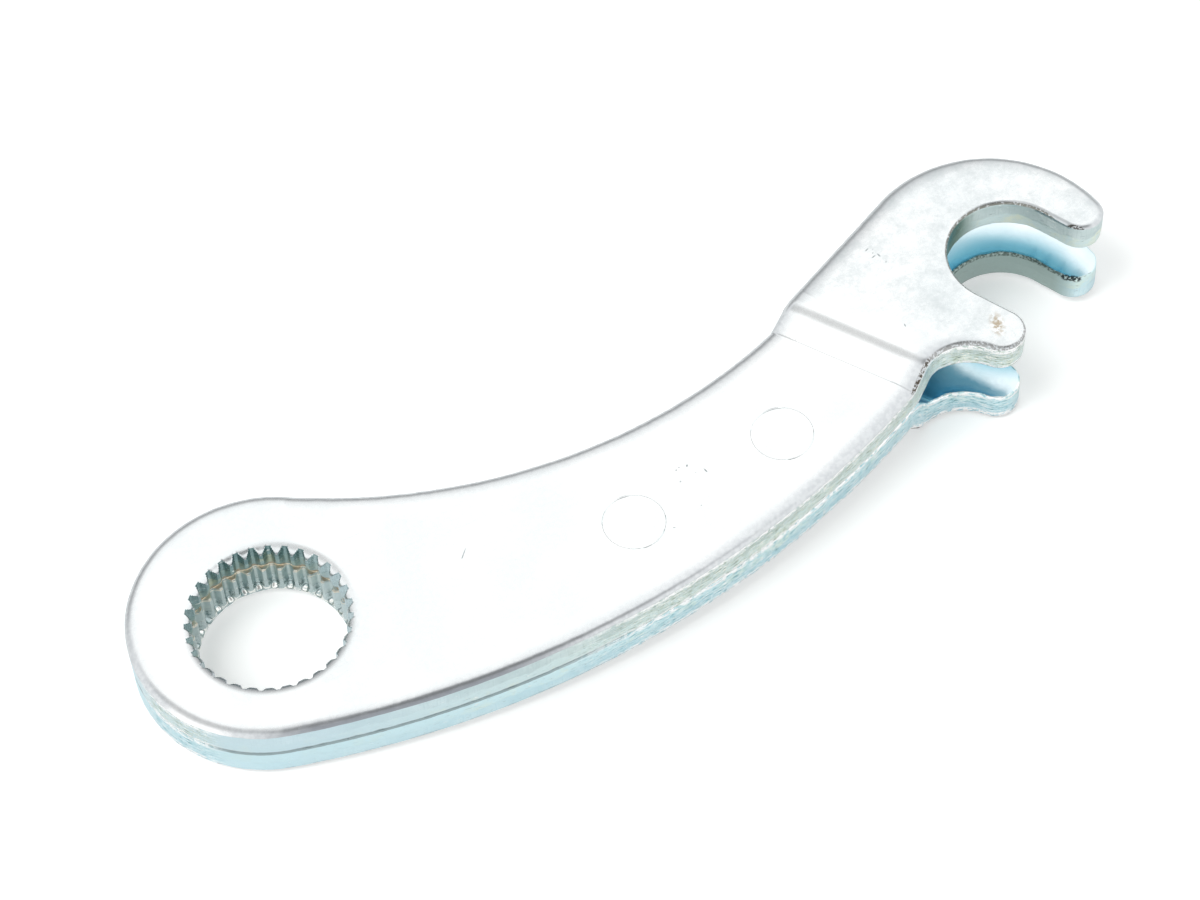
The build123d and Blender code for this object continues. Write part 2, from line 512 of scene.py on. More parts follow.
def beginMetal(name, look):
    # The plating itself: clouds of tint, and a fine grain that varies the gloss and the surface
    material = bpy.data.materials.new(name)
    tree = blankTree(material)
    place = addNode(tree, "TexCoord", {})["Object"]
    cloudy = {"Vector": place, "Scale": 1 / (look["cloud"] * mm), "Detail": 4.0}
    grainy = {"Vector": place, "Scale": 1 / (look["grain"] * mm), "Detail": 3.0}
    grain = addNode(tree, "TexNoise", grainy)[0]
    share = addNode(tree, "MapRange", [addNode(tree, "TexNoise", cloudy)[0], 0.35, 0.65])[0]
    tints = {0: share, 6: toLinear(look["colour"]), 7: toLinear(look["shade"])}
    return {
        "material": material,
        "tree": tree,
        "place": place,
        "grain": grain,
        "colour": addNode(tree, "Mix", tints, data_type="RGBA")[2],
        "rough": addNode(tree, "MapRange", [grain, 0.3, 0.7, *look["gloss"]])[0],
        "height": addNode(tree, "Math", [grain, look["peel"] * mm], operation="MULTIPLY")[0],
    }


def coat(metal, masks, colour, rough=None):
    # Lays a tint, and a roughness if one is given, over the plating where all the masks are 1.
    # A mask is a socket, a number, or a value with the two levels between which it shows.
    tree = metal["tree"]
    shown = [addNode(tree, "MapRange", mask)[0] if isinstance(mask, tuple) else mask for mask in masks]
    mask, *others = shown
    for other in others:
        mask = addNode(tree, "Math", [mask, other], operation="MULTIPLY")[0]
    tints = {0: mask, 6: metal["colour"], 7: toLinear(colour)}
    metal["colour"] = addNode(tree, "Mix", tints, data_type="RGBA")[2]
    if rough is not None:
        metal["rough"] = addNode(tree, "Mix", {0: mask, 2: metal["rough"], 3: rough})[0]


def raiseBy(metal, pattern, tall, mask=None):
    # Adds a pattern's relief, its height given in millimetres, where the mask is 1
    size = tall * mm
    if mask is not None:
        size = addNode(metal["tree"], "Math", [mask, size], operation="MULTIPLY")[0]
    added = [pattern, size, metal["height"]]
    metal["height"] = addNode(metal["tree"], "Math", added, operation="MULTIPLY_ADD")[0]


def endMetal(metal):
    tree = metal["tree"]
    relief = {"Strength": 1.0, "Distance": 1.0, "Height": metal["height"]}
    surface = {
        "Base Color": metal["colour"],
        "Metallic": 1.0,
        "Roughness": metal["rough"],
        "Normal": addNode(tree, "Bump", relief)[0],
    }
    addNode(tree, "OutputMaterial", {"Surface": addNode(tree, "BsdfPrincipled", surface)[0]})
    return metal["material"]


def placedMark(metal, mark, soft, height=5.0, tall=4.0):
    # 1 inside an oval mark on the upper face or at another height, fading over its edge
    x, y, length, width, turn = mark
    tree = metal["tree"]
    oval = {
        "Vector": metal["place"],
        "Location": inMetres(x, y, height),
        "Rotation": (0, 0, radians(turn)),
        "Scale": inMetres(length, width, tall),
    }
    local = addNode(tree, "Mapping", oval, vector_type="TEXTURE")[0]
    away = addNode(tree, "VectorMath", [local], operation="LENGTH")[1]
    return addNode(tree, "MapRange", [away, 1 - soft, 1 + soft, 1.0, 0.0], **smooth)[0]


def distanceAlong(metal, way):
    # How far a place lies in one direction
    return addNode(metal["tree"], "VectorMath", [metal["place"], way], operation="DOT_PRODUCT")[1]


def distanceFrom(metal, centre):
    # How far a place lies from an upright axis
    tree = metal["tree"]
    middle = (*inMetres(*centre[:2]), 0)
    across = addNode(tree, "VectorMath", [metal["place"], middle], operation="SUBTRACT")[0]
    level = addNode(tree, "VectorMath", [across, (1, 1, 0)], operation="MULTIPLY")[0]
    return addNode(tree, "VectorMath", [level], operation="LENGTH")[1]


def rimPattern(metal, size, detail, roughness=0.5):
    # A pattern with its grain drawn out to a length along the rim and a height down the stroke
    length, tall = size
    drawn = {"Vector": metal["rim"], "Scale": (1 / (length * mm), 1 / (tall * mm), 1)}
    local = addNode(metal["tree"], "Mapping", drawn)[0]
    fine = {"Vector": local, "Scale": 1.0, "Detail": detail, "Roughness": roughness}
    return addNode(metal["tree"], "TexNoise", fine)[0]


def skinFinish(name, look, placed):
    # Drawn outer face: near white, with fine scratches, and mottled painted shade where the rim rolls over
    metal = beginMetal(name, look)
    tree, place = metal["tree"], metal["place"]
    run, through = look["scratchRun"]
    for turn, wide in look["scratches"]:
        drawn = {
            "Vector": place,
            "Rotation": (0, 0, radians(turn)),
            "Scale": (1 / (run * mm), 1 / (wide * mm), 1 / (through * mm)),
        }
        fine = {"Vector": addNode(tree, "Mapping", drawn)[0], "Scale": 1.0, "Detail": 2.0}
        lines = addNode(tree, "TexNoise", fine)[0]
        scratch = addNode(tree, "MapRange", [lines, *look["scratchLevels"]])[0]
        coat(metal, [scratch], look["shade"], 0.36)
        raiseBy(metal, scratch, -look["scratchDepth"])
    rolled = addNode(tree, "Attribute", {}, attribute_name="rimDepth")["Fac"]
    mottled = {"Vector": place, "Scale": 1 / (look["rimGrain"] * mm), "Detail": 4.0, "Roughness": 0.6}
    mottle = addNode(tree, "TexNoise", mottled)[0]
    patchy = addNode(tree, "MapRange", [mottle, *look["rimLevels"]])[0]
    uneven = addNode(tree, "Math", [patchy, 0.3, 0.7], operation="MULTIPLY_ADD")[0]
    # Painted shade over the rolled rim, mottled
    rimmed = addNode(tree, "MapRange", [rolled, *look["rimReach"]], **smooth)[0]
    coat(metal, [rimmed, uneven], look["rim"], 0.3)
    raiseBy(metal, mottle, look["rimPeel"], rolled)
    if placed:
        wearAndPaintedLight(metal, look, rolled)
    return endMetal(metal)


def wearAndPaintedLight(metal, look, rolled):
    # What the press, the bath and the bench have left on a plate's outer face, mark by mark, with painted
    # shade, painted dark reflections and a painted highlight among them
    tree, place = metal["tree"], metal["place"]
    turned = addNode(tree, "Attribute", {}, attribute_name="rollTurn")["Fac"]
    fine = addNode(tree, "TexNoise", {"Vector": place, "Scale": 1 / (look["fine"] * mm), "Detail": 3.0})[0]
    along = distanceAlong(metal, joggleWay)

    # Painted shade on the hook's outer face, in mottled patches
    cloudy = {"Vector": place, "Scale": 1 / (look["hookShadeCloud"] * mm), "Detail": 8.0, "Roughness": 0.8}
    patches = addNode(tree, "TexNoise", cloudy)[0]
    hook = addNode(tree, "MapRange", [along, *inMetres(*look["hookShadeFrom"]), 0.0, 0.9], **smooth)[0]
    coat(metal, [hook, (patches, *look["hookShadeLevels"])], look["hookShade"], 0.36)

    # Dark dots on the near roll, over the ramp and fainter beyond it
    past, half = look["darkRollDotsRamp"]
    ramp = [along, *inMetres(joggle["outerMiddle"] + past, half)]
    onRamp = addNode(tree, "Math", ramp, operation="COMPARE")[0]
    beyond = addNode(tree, "MapRange", [along, *inMetres(*look["darkRollDotsBeyond"]), 0.0, 0.5])[0]
    onFork = addNode(tree, "Math", [onRamp, beyond], operation="MAXIMUM")[0]
    side = addNode(tree, "SeparateXYZ", [place])["Y"]
    near = addNode(tree, "Math", [side, look["darkRollDotsSide"] * mm], operation="LESS_THAN")[0]
    dots, edgeOnly = (fine, *look["darkRollDotsLevels"]), (turned, *look["darkRollDotsTurn"])
    coat(metal, [onFork, dots, near, edgeOnly], look["darkRollDots"], 0.45)

    broken = addNode(tree, "MapRange", [metal["grain"], *look["nickLevels"]])[0]
    for mark in marks:
        oval = placedMark(metal, mark, 0.3)
        coat(metal, [oval, broken], look["nick"], 0.45)
        raiseBy(metal, oval, -look["nickDepth"])

    # Painted dark reflections: a dotted line along the crook's edge, and a patch on the hook's tip
    crookLip = (distanceFrom(metal, plate["crook"]), *inMetres(*look["lipReach"]), 1.0, 0.0)
    spotted = addNode(tree, "MapRange", [fine, *look["darkReflectionLevels"]])[0]
    coat(metal, [crookLip, spotted], look["lip"], 0.3)
    coat(metal, [placedMark(metal, tipDarkReflection, 0.25), spotted], look["worn"], 0.3)

    # Painted shade at the foot of the near roll
    rollShadeMark = placedMark(metal, nearRollShade, 0.35, look["markHeight"])
    coat(metal, [(turned, *look["rollShadeTurn"]), rollShadeMark, 0.85], look["rollShade"])
    # Painted shade on the near side of the bore's rounded lead-in
    inside = [distanceFrom(metal, (0, 0)), look["boreLipRadius"] * mm]
    onEye = addNode(tree, "Math", inside, operation="LESS_THAN")[0]
    nearLip = (distanceAlong(metal, look["boreLipToward"]), *inMetres(*look["boreLipReach"]))
    coat(metal, [nearLip, (rolled, *look["boreLipSlope"]), onEye], look["boreLip"])
    # Painted highlight on the roll at the eye's lower left
    coat(metal, [placedMark(metal, paintedRollHighlightRim, 0.5, look["markHeight"]), turned], look["paintedRollHighlight"], 0.16)
    coat(metal, [placedMark(metal, stain, 0.7), broken], look["stain"], 0.5)


def beginSheared(name, look):
    # Sheared wall: a burnished band with streaks down the stroke, then the torn, crystalline band with
    # painted glints
    metal = beginMetal(name, look)
    tree, place = metal["tree"], metal["place"]
    metal["rim"] = addNode(tree, "UVMap", {}, uv_map="alongRim")[0]
    metal["depth"] = addNode(tree, "SeparateXYZ", [metal["rim"]])["Y"]
    streak = rimPattern(metal, look["streak"], 3.0)
    coat(metal, [(streak, *look["streakLevels"])], look["shade"], look["gloss"][0])
    raiseBy(metal, streak, look["streakPeel"])
    run, rise = look["tearWaver"]
    waver = addNode(tree, "TexNoise", {"Vector": place, "Scale": 1 / (run * mm), "Detail": 3.0})[0]
    edge = addNode(tree, "Math", [waver, rise * mm, metal["depth"]], operation="MULTIPLY_ADD")[0]
    span = inMetres(look["tearFrom"] + 0.6, look["tearFrom"] + 0.9)
    torn = addNode(tree, "MapRange", [edge, *span], **smooth)[0]
    coat(metal, [torn], look["torn"], look["gloss"][1])
    cloudy = {"Vector": place, "Scale": 1 / (look["sulphurCloud"] * mm), "Detail": 5.0, "Roughness": 0.7}
    patches = addNode(tree, "TexNoise", cloudy)[0]
    coat(metal, [torn, (patches, *look["sulphurLevels"])], look["sulphur"])
    crystal = metal["crystal"] = rimPattern(metal, look["tearGrain"], 5.0, 0.62)
    raiseBy(metal, crystal, look["tearPeel"], torn)
    coat(metal, [(crystal, *look["pitLevels"])], look["pit"])
    # Painted glints on the torn band's crystals
    coat(metal, [(crystal, *look["sparkLevels"])], look["spark"], 0.16)
    span = inMetres(plate["thickness"] - look["seamReach"], plate["thickness"] - look["seamReach"] + 0.06)
    metal["seam"] = addNode(tree, "MapRange", [metal["depth"], *span])[0]
    return metal


def edgeFinish(name, look):
    # Blanked edge: even round the eye, and speckled along the arm's near side, with painted glints at the
    # roll's foot and at the seam there
    metal = beginSheared(name, look)
    tree, depth, grain = metal["tree"], metal["depth"], metal["grain"]
    spot = addNode(tree, "SeparateXYZ", [metal["place"]])
    outward = addNode(tree, "MapRange", [spot["X"], *inMetres(*look["ruggedFrom"])], **smooth)[0]
    nearSide = addNode(tree, "MapRange", [spot["Y"], *inMetres(*look["ruggedSide"])])[0]
    armSide = addNode(tree, "Math", [outward, nearSide], operation="MULTIPLY")[0]
    eyeSide = placedMark(metal, ruggedEye, 0.5, 0.0, 9.0)
    rugged = addNode(tree, "Math", [armSide, eyeSide], operation="MAXIMUM")[0]
    coat(metal, [(spot["X"], *inMetres(*look["eyeReach"]), 0.0, 0.75)], look["eye"])

    along = [distanceAlong(metal, joggleWay), joggle["innerMiddle"] * mm]
    closed = addNode(tree, "Math", along, operation="LESS_THAN")[0]
    faint = addNode(tree, "Math", [rugged, -0.85, 1.0], operation="MULTIPLY_ADD")[0]
    coat(metal, [metal["seam"], closed, faint], look["seam"])

    # Speckles of tint along the rugged stretches, the near white ones painted glints
    speckle = rimPattern(metal, look["speckleAndGlintGrain"], 6.0, 0.75)
    for low, high, colour, gloss in look["speckleAndGlint"]:
        coat(metal, [(speckle, low, high), rugged], colour, gloss)
    raiseBy(metal, speckle, look["speckleAndGlintPeel"], rugged)
    # Painted glints at the roll's foot and at the seam, on the rugged stretches
    edgeShines = (rimPattern(metal, look["edgeShineGrain"], 4.0, 0.6), *look["edgeShineLevels"])
    atRoll = addNode(tree, "MapRange", [depth, *inMetres(*look["edgeShineRoll"]), 1.0, 0.0])[0]
    atSeam = addNode(tree, "MapRange", [depth, *inMetres(*look["edgeShineSeam"]), 0.0, 0.9])[0]
    atEdges = addNode(tree, "Math", [atRoll, atSeam], operation="MAXIMUM")[0]
    coat(metal, [atEdges, rugged, edgeShines], look["edgeShine"], 0.14)
    # Painted shade in the crook's inner corner
    coat(metal, [placedMark(metal, darkCorner, 0.6, 4.3)], look["corner"])

    # Painted shade on the wall in the crook, and a dark dotted line at its top edge
    if "crookWall" in look:
        away = distanceFrom(metal, plate["crook"])
        inCrook = addNode(tree, "MapRange", [away, *inMetres(*look["crookWallReach"]), 1.0, 0.0])[0]
        coat(metal, [inCrook], look["crookWall"])
        topEdge = (depth, *inMetres(*look["crookEdgeReach"]))
        coat(metal, [topEdge, inCrook, (grain, *look["crookEdgeLevels"])], look["crookEdge"])
    # Painted dark reflection on the lower hook's tip, by the seam
    tip = placedMark(metal, tipDarkReflectionBelow, 0.3, -2.7, 0.5)
    coat(metal, [tip, (grain, *look["darkReflectionLevels"])], look["worn"], 0.3)
    # Painted highlight along the top edge of the wall
    coat(metal, [(depth, *inMetres(*look["lipReach"]), 1.0, 0.0)], look["lip"], 0.2)
    return endMetal(metal)


def punchedFinish(name, look):
    # The bore's teeth: darker, lighter on the lower plate, with painted light on the bore's right and near
    # sides, painted glints on the burr and along the seam, brown dots above the seam and a painted cream
    # highlight line there
    metal = beginSheared(name, look)
    tree = metal["tree"]
    # Painted light on the bore's right and near sides
    for way, reach, colour in look["sides"]:
        span = [distanceAlong(metal, way), *inMetres(*reach), 0.0, 0.85]
        coat(metal, [addNode(tree, "MapRange", span, **smooth)[0]], colour)
    height = addNode(tree, "SeparateXYZ", [metal["place"]])["Z"]
    under = addNode(tree, "Math", [height, 0.0], operation="LESS_THAN")[0]
    coat(metal, [under, 0.6], look["below"])
    # Painted glints, dotted along the lower plate's burr
    dotted = addNode(tree, "MapRange", [metal["crystal"], *look["dotLevels"]])[0]
    onBurr = addNode(tree, "Math", [metal["depth"], look["burrHeight"] * mm], operation="LESS_THAN")[0]
    coat(metal, [under, onBurr, dotted], look["burr"], 0.2)
    brown = addNode(tree, "Math", [height, *inMetres(*look["brownBand"])], operation="COMPARE")[0]
    coat(metal, [brown, dotted], look["brown"], 0.3)
    # A painted highlight line just above the seam, and painted glints dotted along the seam
    line = addNode(tree, "Math", [height, *inMetres(*look["lineBand"])], operation="COMPARE")[0]
    coat(metal, [line], look["line"], 0.3)
    coat(metal, [metal["seam"], under, dotted], look["seam"])
    return endMetal(metal)


def shieldedFinish(name, look):
    # Inner face: painted shade, deep blue in the fork's root and near the crook's edge, pale out on the
    # hooks
    metal = beginMetal(name, look)
    tree = metal["tree"]
    # Painted shade, deep blue in the fork's root
    rootSpan = [distanceAlong(metal, joggleWay), *inMetres(*look["rootReach"]), 1.0, 0.0]
    coat(metal, [addNode(tree, "MapRange", rootSpan, **smooth)[0]], look["root"])
    # Painted highlight on the inner face's ledge round the bore
    inside = [distanceFrom(metal, (0, 0)), look["crestRadius"] * mm]
    coat(metal, [addNode(tree, "Math", inside, operation="LESS_THAN")[0]], look["crestTop"], 0.34)
    # Painted shade, blue near the crook's edge
    away = distanceFrom(metal, plate["crook"])
    edgeSpan = [away, *inMetres(*look["edgeReach"]), 1.0, 0.0]
    coat(metal, [addNode(tree, "MapRange", edgeSpan, **smooth)[0]], look["edge"])
    # Painted dark reflections: a line along the crook's edge, and a patch on the hook's tip
    coat(metal, [(away, *inMetres(*look["lipReach"]), 1.0, 0.0)], look["lip"])
    tip = placedMark(metal, tipDarkReflectionBelow, 0.5, -2.6)
    coat(metal, [tip, (metal["grain"], *look["darkReflectionLevels"])], look["worn"], 0.3)
    return endMetal(metal)


stampedSkin = skinFinish("bluePassivatedZincSkin", skinLook, True)
shearedZinc = edgeFinish("bluePassivatedZincSheared", shearedLook)
shearedBelow = edgeFinish("bluePassivatedZincShearedBelow", shearedBelowLook)
shieldedZinc = shieldedFinish("bluePassivatedZincShielded", shieldedLook)
punchedZinc = punchedFinish("bluePassivatedZincPunched", punchedLook)
rivetZinc = skinFinish("zincPlatedRivet", rivetLook, False)
print("finishes done")


def polar(length, bearing):
    return Vector((length * cos(radians(bearing)), length * sin(radians(bearing))))


def touching(first, firstReach, second, secondReach):
    # The point at two given distances from two others, left of the line between them
    span = second - first
    along = (span.length**2 + firstReach**2 - secondReach**2) / (2 * span.length)
    across = sqrt(firstReach**2 - along**2)
    step = span.normalized()
    return first + step * along + Vector((-step.y, step.x)) * across


def plateRounds():
    # The blank's outline as tangent rounds: centre, radius, side (1 turns left, -1 turns right),
    # then at the round's start and end how far the rim is the crook's crisp one, and how wide
    # the dishing behind the roll is
    eyeCentre = Vector(plate["eye"][:2])
    eyeRadius = plate["eye"][2]
    crookCentre = Vector(plate["crook"][:2])
    crookRadius = plate["crook"][2]
    hookCentre = crookCentre - Vector((plate["hookSetback"], 0))
    hookRadius = crookRadius + plate["hookWall"]
    tipBearing, tipLead = plate["upperTip"]
    upperTipRadius = (plate["hookWall"] - plate["hookSetback"] - tipLead) / 2
    upperTip = hookCentre + polar(hookRadius - upperTipRadius, tipBearing)
    lowerTipRadius, lowerBearing, lowerLead = plate["lowerTip"]
    lowerTip = crookCentre + polar(crookRadius + lowerTipRadius + lowerLead, lowerBearing)
    throatRadius, throatBearing = plate["throat"]
    throat = lowerTip + polar(lowerTipRadius + throatRadius, throatBearing)
    lowerEdge = plate["lowerEdge"]
    lowerEdgeCentre = touching(eyeCentre, lowerEdge - eyeRadius, throat, lowerEdge + throatRadius)
    upperEdge = plate["upperEdge"]
    backNormal = polar(1, plate["backSlope"] + 90)
    backHeight = (hookCentre - eyeCentre).dot(backNormal) + hookRadius
    reach = sqrt((upperEdge + eyeRadius) ** 2 - (upperEdge + backHeight) ** 2)
    upperEdgeCentre = (
        eyeCentre + backNormal * (upperEdge + backHeight) + polar(1, plate["backSlope"]) * reach
    )
    return [
        (eyeCentre, eyeRadius, 1, (0, 0), (0.65, 0.65)),
        (lowerEdgeCentre, lowerEdge, 1, (0, 0.75), (0.65, 1.1)),
        (throat, throatRadius, -1, (0.75, 0.6), (1.1, 0.6)),
        (lowerTip, lowerTipRadius, 1, (0.6, 1), (0.6, 0)),
        (crookCentre, crookRadius, -1, (1, 0.6), (0, 0)),
        (upperTip, upperTipRadius, 1, (0.6, 0), (0, 0.7)),
        (hookCentre, hookRadius, 1, (0, 0), (0.7, 1.0)),
        (upperEdgeCentre, upperEdge, -1, (0, 0), (0.9, 0.75)),
    ]


def straightBetween(here, there):
    centre, radius, side = here[:3]
    nextCentre, nextRadius, nextSide = there[:3]
    span = nextCentre - centre
    lean = (nextSide * nextRadius - side * radius) / span.length
    heading = atan2(span.y, span.x) - asin(max(-1, min(1, lean)))
    left = Vector((-sin(heading), cos(heading)))
    return centre - left * (side * radius), nextCentre - left * (nextSide * nextRadius)


def alongBearing(place):
    return place[0] * joggleWay[0] + place[1] * joggleWay[1]


def walkOutline(rounds):
    # Steps along the outline, closer over the joggle's corners:
    # place, outward direction, distance run, share of crook, share of dishing
    runs = [straightBetween(here, there) for here, there in zip(rounds, rounds[1:] + rounds[:1])]
    steps = []
    travelled = 0
    for index, (centre, radius, side, shares, tails) in enumerate(rounds):
        start = runs[index - 1][1] - centre
        end = runs[index][0] - centre
        begin = atan2(start.y, start.x)
        sweep = (side * (atan2(end.y, end.x) - begin)) % (2 * pi)
        count = max(2, ceil(radius * sweep / plate["fineSpacing"]))
        for step in range(count):
            part = step / count
            angle = begin + side * sweep * part
            out = Vector((cos(angle), sin(angle)))
            ease = part * part * (3 - 2 * part)
            share, tail = (pair[0] + (pair[1] - pair[0]) * ease for pair in (shares, tails))
            run = travelled + radius * sweep * part
            steps.append((centre + out * radius, out * side, run, share, tail))
        travelled += radius * sweep
        leave, meet = runs[index]
        length = (meet - leave).length
        if length > 0.01:
            way = (meet - leave) / length
            count = max(1, ceil(length / plate["fineSpacing"]))
            for step in range(count):
                part = step / count
                place = leave + way * length * part
                run = travelled + length * part
                steps.append((place, Vector((way.y, -way.x)), run, shares[1], tails[1]))
            travelled += length
    kept = []
    first, last = joggle["closeSteps"]
    for step in steps:
        overJoggle = first < alongBearing(step[0]) < last
        gap = plate["fineSpacing"] if overJoggle else plate["spacing"]
        if not kept or step[2] - kept[-1][2] >= gap * 0.98:
            kept.append(step)
    return kept, travelled


def chamferRadius(depth):
    # The rounded chamfer at the outer face, which leads the camshaft in
    wide, deep = bore["chamfer"]
    part = max(0, 1 - depth / deep)
    return bore["crestRadius"] + wide * (1 - sqrt(1 - part * part))


def boreDepths():
    # Rings of the bore's wall: close over the lead-in, and closer again towards the seam
    deep = bore["chamfer"][1]
    lead = bore["leadRows"]
    rest = bore["rows"] - lead
    depths = [deep * (1 - cos(pi / 2 * step / lead)) for step in range(lead + 1)]
    below = plate["thickness"] - deep
    return depths + [deep + below * sin(pi / 2 * step / rest) for step in range(1, rest + 1)]


def toothMesh(below):
    # One tooth of the bore, from root to root. On the lower plate the teeth end in a burr.
    pitch = 2 * pi / bore["teeth"]
    tall, hang = bore["burr"]
    crest, root = bore["crestRadius"], bore["rootRadius"]
    verts, faces, onChamfer = [], [], []
    for depth in boreDepths():
        fromFace = depth / plate["thickness"]
        opened = max(0, (fromFace - bore["flareFrom"]) / (1 - bore["flareFrom"])) ** 2
        closing = max(0, 1 - depth / tall) if below else 0
        closing *= closing * (3 - 2 * closing)
        broken = max(0, depth - plate["thickness"] + bore["breakReach"]) / bore["breakReach"]
        for column in range(bore["columns"] + 1):
            part = column / bore["columns"] - 0.5
            flank = (abs(part) - bore["crestLand"]) / (0.5 - bore["rootLand"] - bore["crestLand"])
            flank = min(1, max(0, flank))
            radius = crest + flank * (1 - closing) * (root - crest)
            if below:
                radius += bore["crestBreak"] * broken**2 - hang * closing
                onChamfer.append(0.0)
            else:
                onChamfer.append(float(chamferRadius(depth) > radius))
                radius = max(radius, chamferRadius(depth))
                radius += opened * (bore["crestFlare"] + flank * (bore["rootFlare"] - bore["crestFlare"]))
            angle = part * pitch + radians(bore["turn"])
            verts.append(inMetres(radius * cos(angle), radius * sin(angle), plate["thickness"] - depth))
    wide = bore["columns"] + 1
    for row in range(bore["rows"]):
        for column in range(bore["columns"]):
            corner = row * wide + column
            faces.append((corner, corner + 1, corner + wide + 1, corner + wide))
    mesh = bpy.data.meshes.new("tooth")
    mesh.from_pydata(verts, [], faces)
    mesh.attributes.new("chamfered", "FLOAT", "POINT").data.foreach_set("value", onChamfer)
    return mesh


def serratedBoreTree():
    # Geometry Nodes: the tooth repeated round the camshaft's axis
    tree = bpy.data.node_groups.new("serratedBore", "GeometryNodeTree")
    tree.interface.new_socket("Geometry", in_out="OUTPUT", socket_type="NodeSocketGeometry")
    for name, kind in (("Teeth", "Int"), ("Tooth", "Object"), ("Finish", "Material")):
        tree.interface.new_socket(name, in_out="INPUT", socket_type="NodeSocket" + kind)
    given = addNode(tree, "NodeGroupInput", {})
    shape = addNode(tree, "GeometryNodeObjectInfo", {"Object": given["Tooth"]})["Geometry"]
    line = {"Count": given["Teeth"], "Offset": (0, 0, 0)}
    spots = addNode(tree, "GeometryNodeMeshLine", line)["Mesh"]
    index = addNode(tree, "GeometryNodeInputIndex", {})[0]
    share = addNode(tree, "Math", [index, given["Teeth"]], operation="DIVIDE")[0]
    angle = addNode(tree, "Math", [share, 2 * pi], operation="MULTIPLY")[0]
    placing = {
        "Points": spots,
        "Instance": shape,
        "Rotation": addNode(tree, "CombineXYZ", {"Z": angle})[0],
    }
    repeated = addNode(tree, "GeometryNodeInstanceOnPoints", placing)["Instances"]
    real = addNode(tree, "GeometryNodeRealizeInstances", {"Geometry": repeated})["Geometry"]
    finishing = {"Geometry": real, "Material": given["Finish"]}
    finished = addNode(tree, "GeometryNodeSetMaterial", finishing)["Geometry"]
    addNode(tree, "NodeGroupOutput", {"Geometry": finished})
    return tree


def socketKey(tree, name):
    for item in tree.interface.items_tree:
        if item.name == name and item.in_out == "INPUT":
            return item.identifier


def evaluatedMesh(carrier, name):
    # The modifiers' result as a plain mesh
    depsgraph = bpy.context.evaluated_depsgraph_get()
    mesh = bpy.data.meshes.new_from_object(carrier.evaluated_get(depsgraph))
    mesh.name = name
    bpy.data.objects.remove(carrier)
    return mesh


def boreWall(tree, below):
    # Vertices in millimetres with the outer face at the top, their quads, and which of them lie
    # on the lead-in
    tooth = bpy.data.objects.new("tooth", toothMesh(below))
    carrier = bpy.data.objects.new("boreCarrier", bpy.data.meshes.new("boreCarrier"))
    scene.collection.objects.link(carrier)
    modifier = carrier.modifiers.new("serratedBore", "NODES")
    modifier.node_group = tree
    given = {"Teeth": bore["teeth"], "Tooth": tooth, "Finish": punchedZinc}
    for name, value in given.items():
        modifier[socketKey(tree, name)] = value
    mesh = evaluatedMesh(carrier, "boreWall")
    bpy.data.objects.remove(tooth)
    shell = bmesh.new()
    shell.from_mesh(mesh)
    bmesh.ops.remove_doubles(shell, verts=shell.verts, dist=0.002 * mm)
    shell.verts.index_update()
    verts = [vert.co / mm for vert in shell.verts]
    faces = [[vert.index for vert in face.verts] for face in shell.faces]
    layer = shell.verts.layers.float["chamfered"]
    chamfered = [vert[layer] for vert in shell.verts]
    shell.free()
    return verts, faces, chamfered


def bendEnds(middle, foot, head):
    # Where the foot's corner begins and the head's corner ends, along the bearing
    slope = radians(joggle["slope"])
    halfRun = joggle["offset"] / tan(slope) / 2
    corner = tan(slope / 2)
    return middle - halfRun - foot * corner, middle + halfRun + head * corner


def pressedRise(along, middle, foot, head):
    # How far the press lifts one face: foot corner, straight ramp, head corner
    slope = radians(joggle["slope"])
    start, end = bendEnds(middle, foot, head)
    entered = min(max(along - start, 0), foot * sin(slope))
    left = min(max(end - along, 0), head * sin(slope))
    straight = end - start - (foot + head) * sin(slope)
    ramp = min(max(along - start - foot * sin(slope), 0), straight)
    footRise = foot - sqrt(foot**2 - entered**2)
    headRise = sqrt(head**2 - left**2) - head * cos(slope)
    return footRise + ramp * tan(slope) + headRise


def pressed(x, y, z):
    # A point of the flat blank, once the joggle is pressed
    along = alongBearing((x, y))
    inner = pressedRise(along, joggle["innerMiddle"], joggle["rootCrest"], joggle["rootHollow"])
    outer = pressedRise(along, joggle["outerMiddle"], joggle["hollow"], joggle["crest"])
    return inMetres(x, y, z + inner + (outer - inner) * z / plate["thickness"])


outlineSteps, perimeter = walkOutline(plateRounds())
print("outline:", len(outlineSteps), "steps over", round(perimeter, 1), "mm")


def grain(place, size, seed):
    return noise.noise(Vector(place) / size + Vector((seed * 17.3, seed * 5.1, seed * 9.7)))


